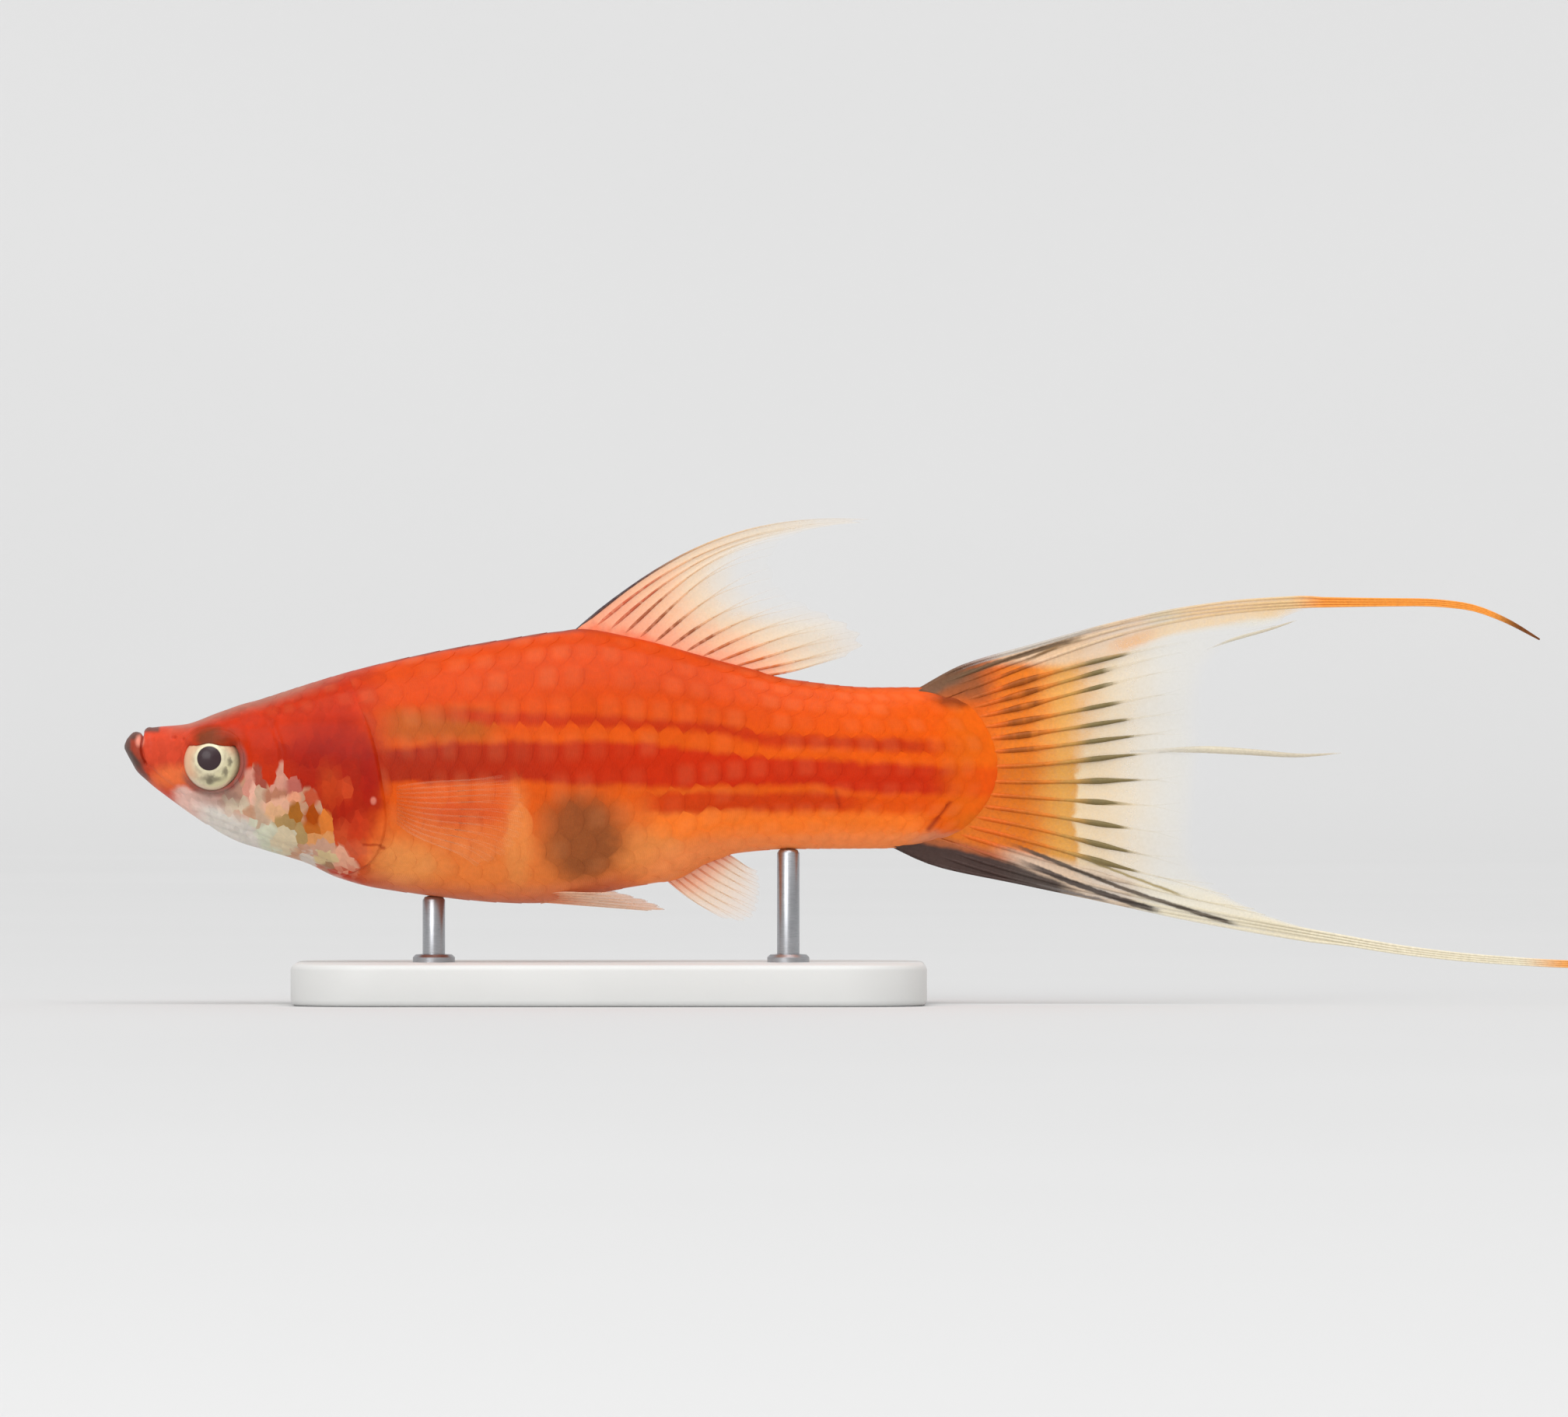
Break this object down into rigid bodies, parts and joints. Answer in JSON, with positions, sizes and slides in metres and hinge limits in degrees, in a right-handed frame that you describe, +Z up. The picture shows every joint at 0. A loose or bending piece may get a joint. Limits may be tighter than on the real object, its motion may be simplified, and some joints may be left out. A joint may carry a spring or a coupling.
{
  "type": "lyretail swordtail fish model",
  "caption": "Still life-size female lyretail swordtail, orange-red with a dark red side band, swimming on a flat plain stand with short rods.",
  "frame": {"origin": "centre of the bounding box on the floor, under the stand's base", "axes": "+Z up, the fish's head towards -X and its tail towards +X, its left side towards -Y"},
  "size_m": [0.115, 0.028, 0.0346],
  "materials": {
    "skin": "wet, scaled fish skin, satin gloss",
    "lip": "dark moist lip",
    "eye": "clear and polished, silver iris with a black pupil",
    "fin": "translucent salmon membrane with darker rays",
    "tail_fin": "translucent cream and orange membrane with dark rays",
    "sword": "orange fin rays",
    "clear_fin": "almost clear membrane with fine rays",
    "stand_base": "satin pale grey",
    "stand_rod": "satin"
  },
  "bodies": {
    "root": {"head": "skin", "lower_jaw": "lip", "torso": "skin", "tail_stalk": "skin", "eye_left": "eye", "eye_right": "eye", "dorsal_fin": "fin", "tail_fin_upper": "tail_fin", "tail_fin_middle": "tail_fin", "tail_fin_lower": "tail_fin", "tail_sword_upper": "sword", "tail_sword_lower": "sword", "anal_fin": "clear_fin", "pelvic_fin_left": "clear_fin", "pelvic_fin_right": "clear_fin", "pectoral_fin_left": "clear_fin", "pectoral_fin_right": "clear_fin", "stand_base": "stand_base", "stand_rod_front": "stand_rod", "stand_rod_rear": "stand_rod"}
  },
  "joints": []
}
